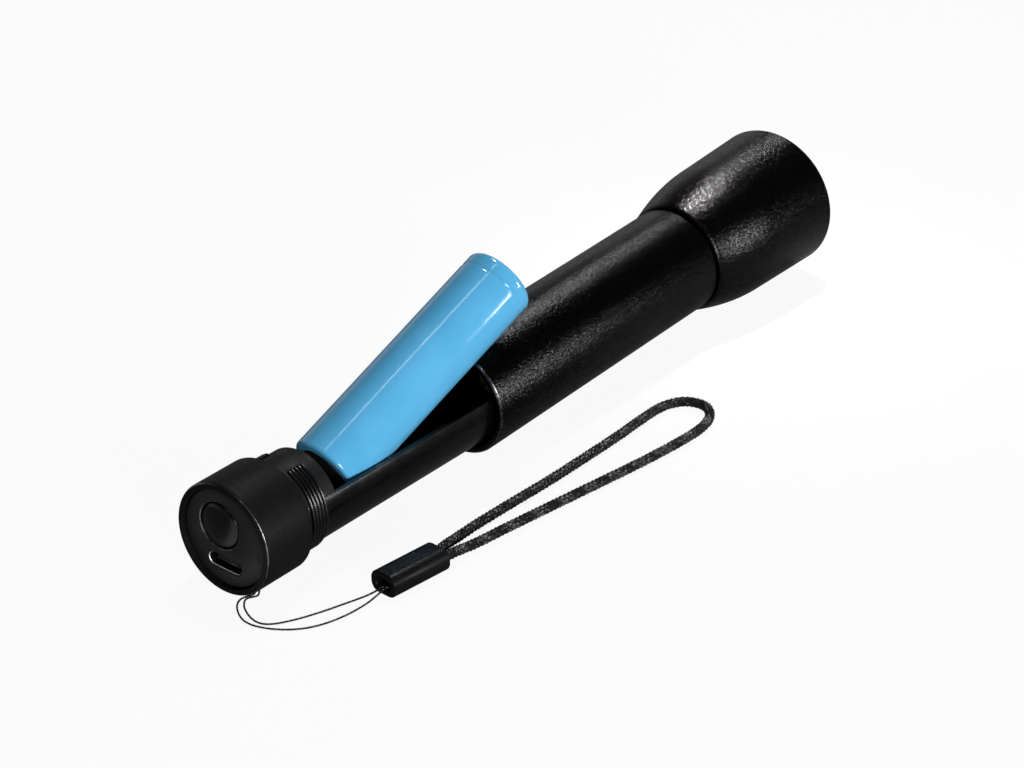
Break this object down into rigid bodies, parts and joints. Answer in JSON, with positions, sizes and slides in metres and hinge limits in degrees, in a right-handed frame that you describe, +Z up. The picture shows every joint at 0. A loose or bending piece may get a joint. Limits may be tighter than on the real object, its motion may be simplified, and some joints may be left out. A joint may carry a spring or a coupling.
{
  "type": "flashlight",
  "caption": "Zoom flashlight lying open: barrel and flared head drawn forward off a battery tray, the cell leaning out over the barrel rim, wrist strap on a bead at the tail.",
  "frame": {"origin": "bottom centre of the bounding box of the torch without its strap, on the table it lies on", "axes": "+X from the tail cap towards the lens, +Z up, the strap lies on the -Y side"},
  "size_m": [0.2316, 0.0651, 0.0532],
  "materials": {
    "anodised": "shot-blasted black anodised, fine sparkle",
    "satin_cap": "satin black anodised",
    "black_plastic": "semi-gloss moulded black",
    "black_rubber": "smooth black rubber",
    "blue_wrap": "glossy light blue shrink wrap",
    "nickel": "nickel plated",
    "spring_steel": "bright spring wire",
    "brass": "plated contact brass",
    "raw_aluminium": "turned bare aluminium",
    "circuit_board": "green solder mask",
    "white_plastic": "white",
    "phosphor": "yellow phosphor",
    "lens": "clear moulded lens",
    "black_cord": "black braided cord"
  },
  "bodies": {
    "tail_module": {"tail_cap": "satin_cap", "tail_disc": "black_plastic", "switch_housing": "black_plastic", "port_shell": "nickel", "port_tongue": "black_plastic", "charging_board": "circuit_board", "battery_tray": "black_plastic", "rear_contact": "nickel", "rear_spring": "spring_steel", "front_contact": "brass", "return_strip": "brass", "strap_string": "black_cord", "strap_knot": "black_cord", "strap_bead": "black_plastic", "strap_loop": "black_cord"},
    "button": {"button_boot": "black_rubber", "switch_plunger": "white_plastic"},
    "sleeve": {"barrel": "anodised", "neck_o_ring": "black_rubber", "neck_stop_ring": "raw_aluminium", "led_pill": "raw_aluminium", "led_board": "white_plastic", "led_emitter": "phosphor", "driver_board": "circuit_board", "driver_spring": "spring_steel"},
    "head": {"head_shell": "anodised", "lens": "lens", "lens_gasket": "black_rubber", "lens_ring": "anodised"},
    "cell": {"cell_wrap": "blue_wrap", "cell_can": "nickel", "cell_protection_board": "circuit_board", "cell_insulator": "white_plastic", "cell_positive_cap": "nickel"}
  },
  "joints": [
    {"name": "button_press", "type": "slide", "parent": "tail_module", "child": "button", "axis": [1, 0, 0], "range_m": [0, 0.0012], "stiffness_N_per_m": 600, "springref_m": -0.0005},
    {"name": "barrel_draw", "type": "slide", "parent": "tail_module", "child": "sleeve", "axis": [0.9993, 0, 0.038], "range_m": [0, 0.0175]},
    {"name": "head_zoom", "type": "slide", "parent": "sleeve", "child": "head", "axis": [0.9993, 0, 0.038], "range_m": [0, 0.008]},
    {"name": "cell_lift", "type": "slide", "parent": "tail_module", "child": "cell", "axis": [0.8937, -0.1101, 0.435], "range_m": [0, 0.045]}
  ]
}
